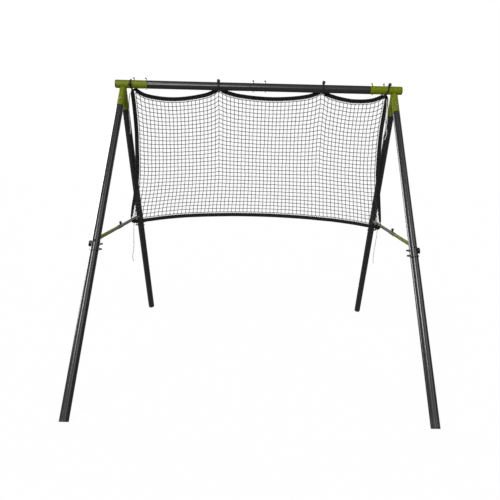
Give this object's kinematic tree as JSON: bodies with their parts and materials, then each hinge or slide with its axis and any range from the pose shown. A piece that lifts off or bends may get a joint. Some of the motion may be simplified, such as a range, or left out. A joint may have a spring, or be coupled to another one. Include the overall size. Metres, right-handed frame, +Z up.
{
  "type": "pitch back rebounder",
  "caption": "Free-standing steel-tube A-frame pitch back with a slanted square-mesh net hung from the top bar by ball bungees and tied to the side braces at its lower corners.",
  "frame": {"origin": "on the ground, at the middle between the four feet", "axes": "+X to the right as seen from in front of the net, +Y to the rear, +Z up; the net's face looks to -Y"},
  "size_m": [2.09, 2.19, 2.0138],
  "materials": {
    "powder_green": "satin olive-lime powder coat",
    "powder_charcoal": "glossy charcoal powder coat",
    "powder_black": "glossy near-black powder coat",
    "black_plastic": "moulded black plastic",
    "zinc_steel": "zinc-plated steel",
    "net_twine": "knotted black twine",
    "hem_webbing": "woven black webbing",
    "elastic_cord": "braided black elastic cord",
    "white_rope": "braided white cord"
  },
  "bodies": {
    "frame": {"crossbar_left": "powder_charcoal", "crossbar_right": "powder_charcoal", "corner_bracket_left": "powder_green", "corner_bracket_right": "powder_green", "sleeve_plugs": "black_plastic", "leg_upper_front_left": "powder_charcoal", "leg_lower_front_left": "powder_charcoal", "foot_cap_front_left": "black_plastic", "leg_upper_front_right": "powder_charcoal", "leg_lower_front_right": "powder_charcoal", "foot_cap_front_right": "black_plastic", "leg_upper_rear_left": "powder_black", "leg_lower_rear_left": "powder_black", "foot_cap_rear_left": "black_plastic", "leg_upper_rear_right": "powder_black", "leg_lower_rear_right": "powder_black", "foot_cap_rear_right": "black_plastic", "bar_bolts": "zinc_steel", "socket_bolts": "zinc_steel", "frame_nuts": "zinc_steel", "joint_bolts": "zinc_steel", "joint_nuts": "zinc_steel", "thread_caps": "black_plastic", "brace_front_left": "powder_green", "brace_rear_left": "powder_green", "brace_front_right": "powder_green", "brace_rear_right": "powder_green", "brace_bolts": "powder_charcoal", "net_panel": "net_twine", "hem_top": "hem_webbing", "hem_bottom": "hem_webbing", "hem_left": "hem_webbing", "hem_right": "hem_webbing", "corner_strap_left": "hem_webbing", "corner_strap_right": "hem_webbing", "bungee_ball_1": "black_plastic", "bungee_cord_1": "elastic_cord", "bungee_ball_2": "black_plastic", "bungee_cord_2": "elastic_cord", "bungee_ball_3": "black_plastic", "bungee_cord_3": "elastic_cord", "bungee_ball_4": "black_plastic", "bungee_cord_4": "elastic_cord", "tail_top_left": "white_rope", "tail_top_right_outer": "white_rope", "tail_top_right_inner": "white_rope", "tail_low_left": "white_rope", "tail_low_right": "white_rope"},
    "joint_knob_front_left": {"joint_knob_front_left": "black_plastic", "joint_stud_front_left": "zinc_steel"},
    "joint_knob_front_right": {"joint_knob_front_right": "black_plastic", "joint_stud_front_right": "zinc_steel"},
    "joint_knob_rear_left": {"joint_knob_rear_left": "black_plastic", "joint_stud_rear_left": "zinc_steel"},
    "joint_knob_rear_right": {"joint_knob_rear_right": "black_plastic", "joint_stud_rear_right": "zinc_steel"},
    "brace_knob_left": {"brace_knob_left": "black_plastic"},
    "brace_knob_right": {"brace_knob_right": "black_plastic"}
  },
  "joints": [
    {"name": "turn_joint_knob_front_left", "type": "hinge", "parent": "frame", "child": "joint_knob_front_left", "pos_m": [-1.0158, -0.58432, 0.88218], "axis": [-1, 0, 0], "continuous": true},
    {"name": "turn_joint_knob_front_right", "type": "hinge", "parent": "frame", "child": "joint_knob_front_right", "pos_m": [1.0158, -0.58432, 0.88218], "axis": [1, 0, 0], "continuous": true},
    {"name": "turn_joint_knob_rear_left", "type": "hinge", "parent": "frame", "child": "joint_knob_rear_left", "pos_m": [-1.0158, 0.58432, 0.88218], "axis": [-1, 0, 0], "continuous": true},
    {"name": "turn_joint_knob_rear_right", "type": "hinge", "parent": "frame", "child": "joint_knob_rear_right", "pos_m": [1.0158, 0.58432, 0.88218], "axis": [1, 0, 0], "continuous": true},
    {"name": "turn_brace_knob_left", "type": "hinge", "parent": "frame", "child": "brace_knob_left", "pos_m": [-0.99, -0.03046, 0.93851], "axis": [0, -0.0264, 0.9997], "continuous": true},
    {"name": "turn_brace_knob_right", "type": "hinge", "parent": "frame", "child": "brace_knob_right", "pos_m": [0.99, -0.08646, 0.93703], "axis": [0, -0.0264, 0.9997], "continuous": true}
  ]
}
